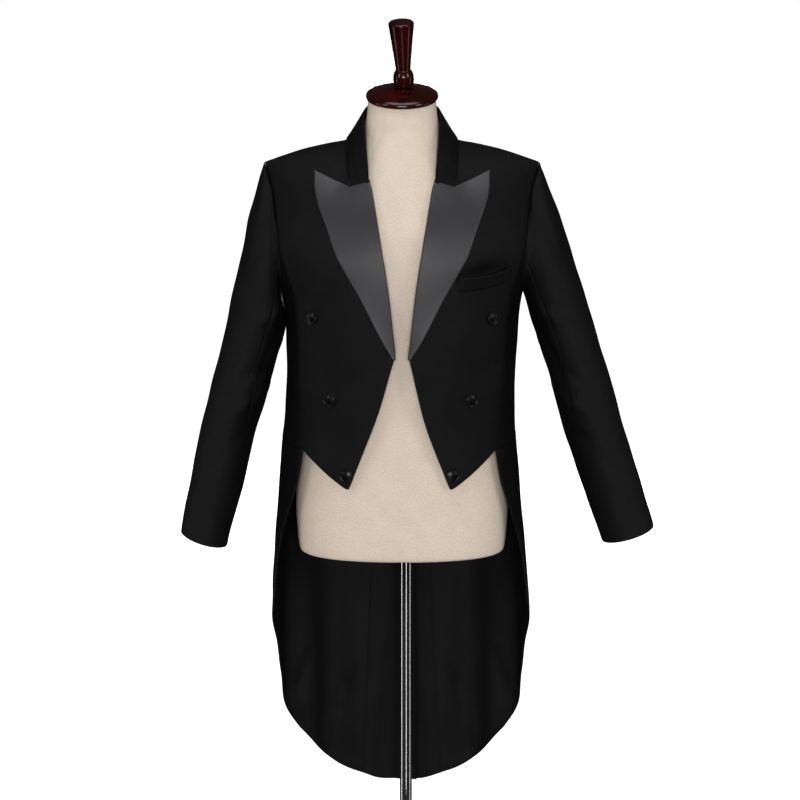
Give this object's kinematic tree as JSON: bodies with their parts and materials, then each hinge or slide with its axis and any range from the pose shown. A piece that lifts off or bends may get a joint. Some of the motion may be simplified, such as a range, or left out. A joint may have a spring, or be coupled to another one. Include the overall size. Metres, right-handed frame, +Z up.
{
  "type": "white tie tailcoat on limbless dress form",
  "caption": "Open-fronted black wool tailcoat with satin peaked lapels, cut away at the waist to long split tails, standing on a headless linen dress form with a pole and round base.",
  "frame": {"origin": "centre of the base's underside, on the pole's axis", "axes": "+Z up along the pole, -Y the way the coat faces, +X towards the wearer's left"},
  "size_m": [0.7773, 0.36, 1.6234],
  "materials": {
    "wool": "fine black worsted, matt",
    "satin": "black satin with a soft sheen",
    "linen": "cream linen, matt",
    "lacquer": "turned wood, dark red gloss lacquer",
    "steel": "polished tube",
    "base_enamel": "black satin enamel"
  },
  "bodies": {
    "root": {"back_button_left": "wool", "back_button_right": "wool", "back_left": "wool", "back_right": "wool", "base": "base_enamel", "breast_welt": "wool", "collar": "wool", "dress_form": "linen", "finial": "lacquer", "forepart_left": "wool", "forepart_right": "wool", "front_button_left_1": "wool", "front_button_left_2": "wool", "front_button_left_3": "wool", "front_button_right_1": "wool", "front_button_right_2": "wool", "front_button_right_3": "wool", "lapel_left": "satin", "lapel_right": "satin", "neck_cap": "lacquer", "pole": "steel", "side_body_left": "wool", "side_body_right": "wool", "skirt_left": "wool", "skirt_right": "wool", "top_sleeve_left": "wool", "top_sleeve_right": "wool", "under_sleeve_left": "wool", "under_sleeve_right": "wool"}
  },
  "joints": []
}
